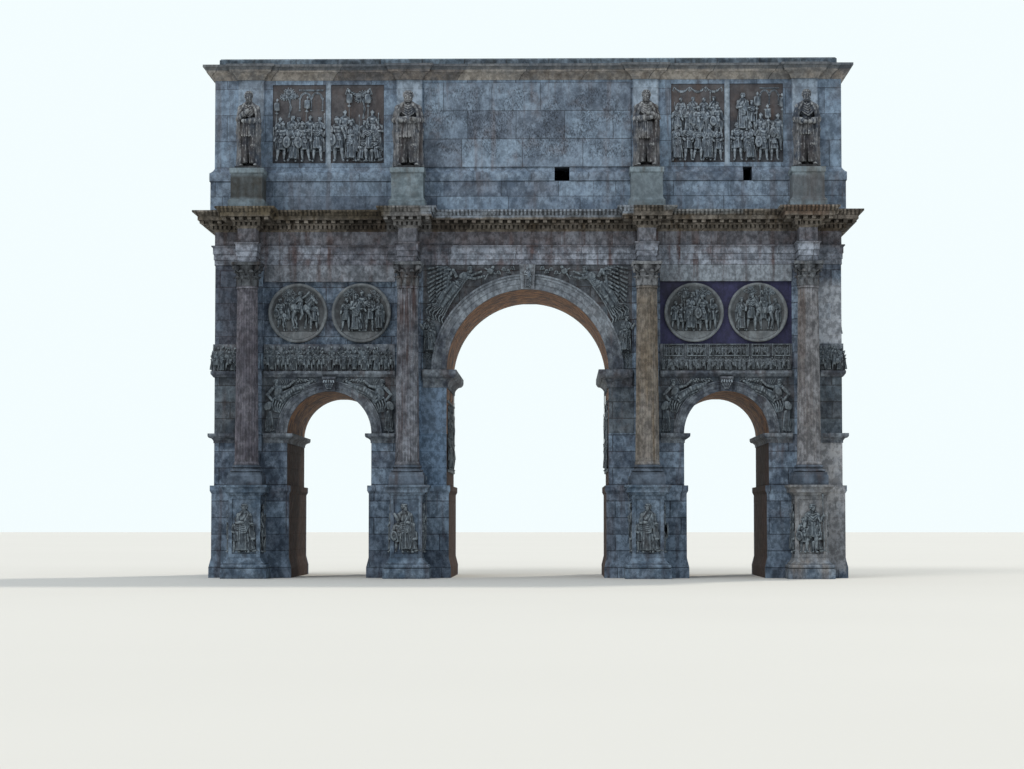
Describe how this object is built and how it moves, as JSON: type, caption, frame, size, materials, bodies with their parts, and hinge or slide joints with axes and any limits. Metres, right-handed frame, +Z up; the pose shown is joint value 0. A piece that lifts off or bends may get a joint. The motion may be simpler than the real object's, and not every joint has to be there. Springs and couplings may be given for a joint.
{
  "type": "triumphal arch",
  "caption": "Triple-bay marble triumphal arch with fluted columns on pedestals, carved entablature, roundels and a hollow attic with standing statues.",
  "frame": {"origin": "on the ground in the middle of the central passage, at the centre of the footprint", "axes": "+Z up, the pictured front faces -Y, +X along the front to the viewer's right"},
  "size_m": [26.78, 11.06, 20.92],
  "materials": {
    "pier_marble": "weathered blue-grey marble blocks",
    "column_marble": "polished fluted shafts of yellow and pinkish grey marble, worn dull",
    "carved_marble": "weathered white marble with grey streaks",
    "cornice_marble": "weathered marble with brown and ochre dirt",
    "porphyry": "dark purple veneer",
    "relief_marble": "carved weathered marble, sooty in the hollows",
    "statue_marble": "tan and brown veined marble",
    "pedestal_marble": "pale grey-green marble",
    "roof_marble": "weathered ochre-grey slabs"
  },
  "bodies": {
    "root": {"outer_pier_left": "pier_marble", "inner_pier_left": "pier_marble", "inner_pier_right": "pier_marble", "outer_pier_right": "pier_marble", "side_arch_left": "pier_marble", "side_arch_right": "pier_marble", "central_arch": "pier_marble", "upper_wall_left": "pier_marble", "upper_wall_right": "pier_marble", "side_imposts": "carved_marble", "central_imposts": "carved_marble", "side_archivolts": "carved_marble", "central_archivolts": "carved_marble", "keystones": "carved_marble", "pilasters": "pier_marble", "pedestals_front": "relief_marble", "pedestals_back": "relief_marble", "column_bases_front": "carved_marble", "column_bases_back": "carved_marble", "column_shafts_front": "column_marble", "column_shafts_back": "column_marble", "capitals_front": "carved_marble", "capitals_back": "carved_marble", "architrave": "carved_marble", "entablature_frieze": "carved_marble", "main_cornice": "cornice_marble", "entablature_blocks": "carved_marble", "cornice_blocks": "cornice_marble", "figure_friezes": "relief_marble", "votive_bands": "carved_marble", "dark_veneers": "porphyry", "bay_roundels": "relief_marble", "end_roundels": "relief_marble", "attic_plinth": "pier_marble", "attic_string_course": "pier_marble", "attic_front_wall": "pier_marble", "attic_back_wall": "pier_marble", "attic_end_walls": "pier_marble", "attic_cornice": "cornice_marble", "roof_course": "roof_marble", "relief_panels": "relief_marble", "dedication_panels": "carved_marble", "statue_pedestals": "pedestal_marble", "statues_front": "statue_marble", "statues_back": "statue_marble"}
  },
  "joints": []
}
